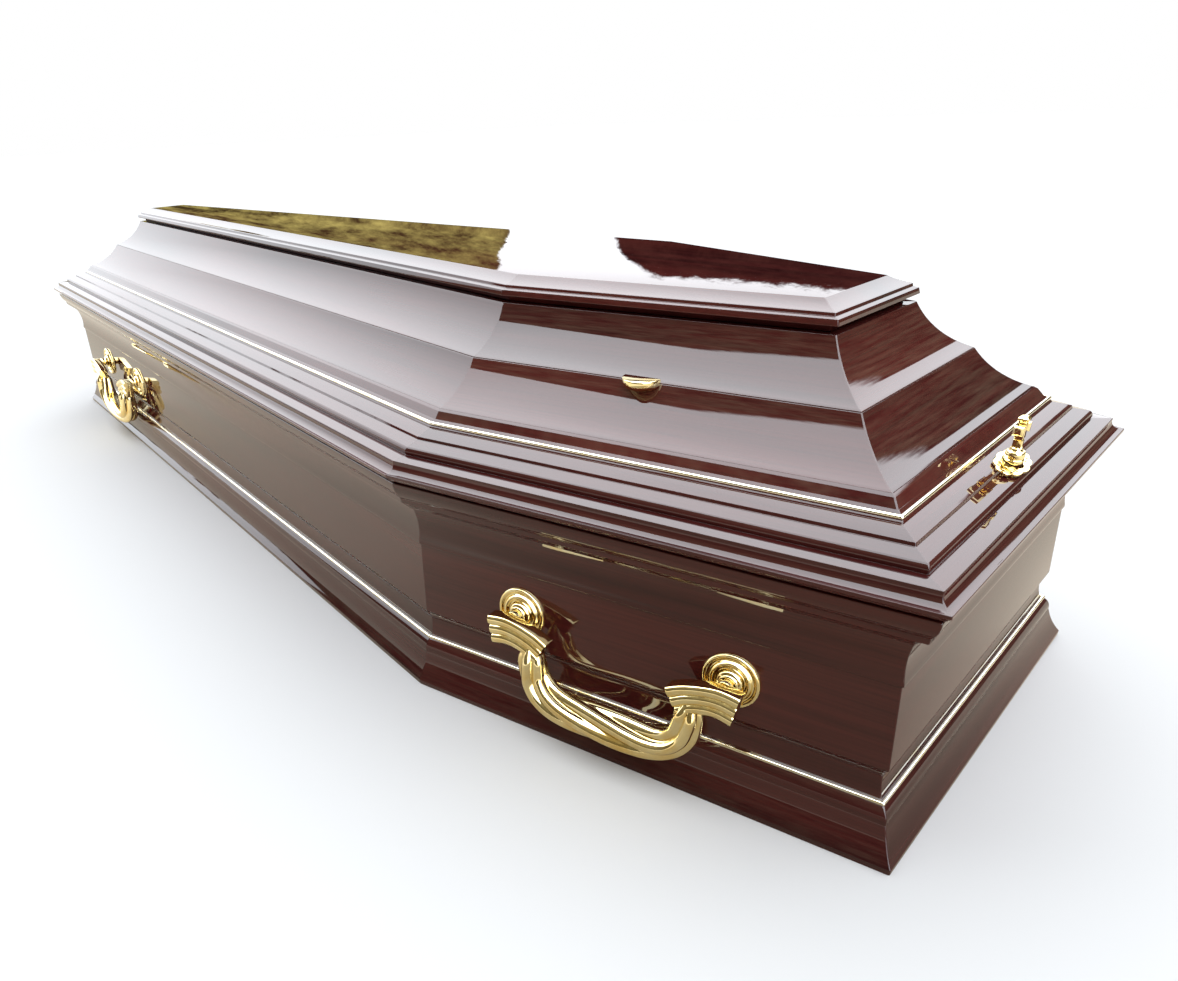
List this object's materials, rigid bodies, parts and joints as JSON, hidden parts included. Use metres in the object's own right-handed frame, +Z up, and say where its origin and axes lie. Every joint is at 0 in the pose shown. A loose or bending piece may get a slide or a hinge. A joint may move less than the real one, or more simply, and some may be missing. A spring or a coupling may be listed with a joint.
{
  "type": "coffin",
  "caption": "Six-sided shouldered coffin with moulded plinth, raised coved lid, gilt beads, gilt drop handles and small crosses on the lid screws.",
  "frame": {"origin": "middle of the footprint on the floor, half-way between the head end and the foot end of the plinth", "axes": "+X towards the head end, +Z up, -Y is the left-hand side of the person lying in it"},
  "size_m": [2, 0.676, 0.4124],
  "materials": {
    "lacquered_wood": "high-gloss dark red-brown lacquer over open-grained wood",
    "bare_board": "plain sawn board, unfinished",
    "gilt_metal": "polished gilt casting"
  },
  "bodies": {
    "root": {"bottom_board": "bare_board", "cross_screw_foot": "gilt_metal", "cross_screw_head": "gilt_metal", "crown_foot": "lacquered_wood", "crown_head": "lacquered_wood", "crown_left_shoulder": "lacquered_wood", "crown_left_side": "lacquered_wood", "crown_right_shoulder": "lacquered_wood", "crown_right_side": "lacquered_wood", "handle_left_foot": "gilt_metal", "handle_left_head": "gilt_metal", "handle_right_foot": "gilt_metal", "handle_right_head": "gilt_metal", "lid_flange_foot": "lacquered_wood", "lid_flange_head": "lacquered_wood", "lid_flange_left_shoulder": "lacquered_wood", "lid_flange_left_side": "lacquered_wood", "lid_flange_right_shoulder": "lacquered_wood", "lid_flange_right_side": "lacquered_wood", "lid_gilt_bead": "gilt_metal", "lid_knob_left": "gilt_metal", "lid_knob_right": "gilt_metal", "lid_lower_cove_foot": "lacquered_wood", "lid_lower_cove_head": "lacquered_wood", "lid_lower_cove_left_shoulder": "lacquered_wood", "lid_lower_cove_left_side": "lacquered_wood", "lid_lower_cove_right_shoulder": "lacquered_wood", "lid_lower_cove_right_side": "lacquered_wood", "lid_top_plate": "lacquered_wood", "lid_upper_cove_foot": "lacquered_wood", "lid_upper_cove_head": "lacquered_wood", "lid_upper_cove_left_shoulder": "lacquered_wood", "lid_upper_cove_left_side": "lacquered_wood", "lid_upper_cove_right_shoulder": "lacquered_wood", "lid_upper_cove_right_side": "lacquered_wood", "plinth_foot": "lacquered_wood", "plinth_gilt_bead": "gilt_metal", "plinth_head": "lacquered_wood", "plinth_left_shoulder": "lacquered_wood", "plinth_left_side": "lacquered_wood", "plinth_right_shoulder": "lacquered_wood", "plinth_right_side": "lacquered_wood", "rosette_left_foot_foot_end": "gilt_metal", "rosette_left_foot_head_end": "gilt_metal", "rosette_left_head_foot_end": "gilt_metal", "rosette_left_head_head_end": "gilt_metal", "rosette_right_foot_foot_end": "gilt_metal", "rosette_right_foot_head_end": "gilt_metal", "rosette_right_head_foot_end": "gilt_metal", "rosette_right_head_head_end": "gilt_metal", "screw_plate_foot": "gilt_metal", "screw_plate_head": "gilt_metal", "wall_foot": "lacquered_wood", "wall_head": "lacquered_wood", "wall_left_shoulder": "lacquered_wood", "wall_left_side": "lacquered_wood", "wall_right_shoulder": "lacquered_wood", "wall_right_side": "lacquered_wood"}
  },
  "joints": []
}
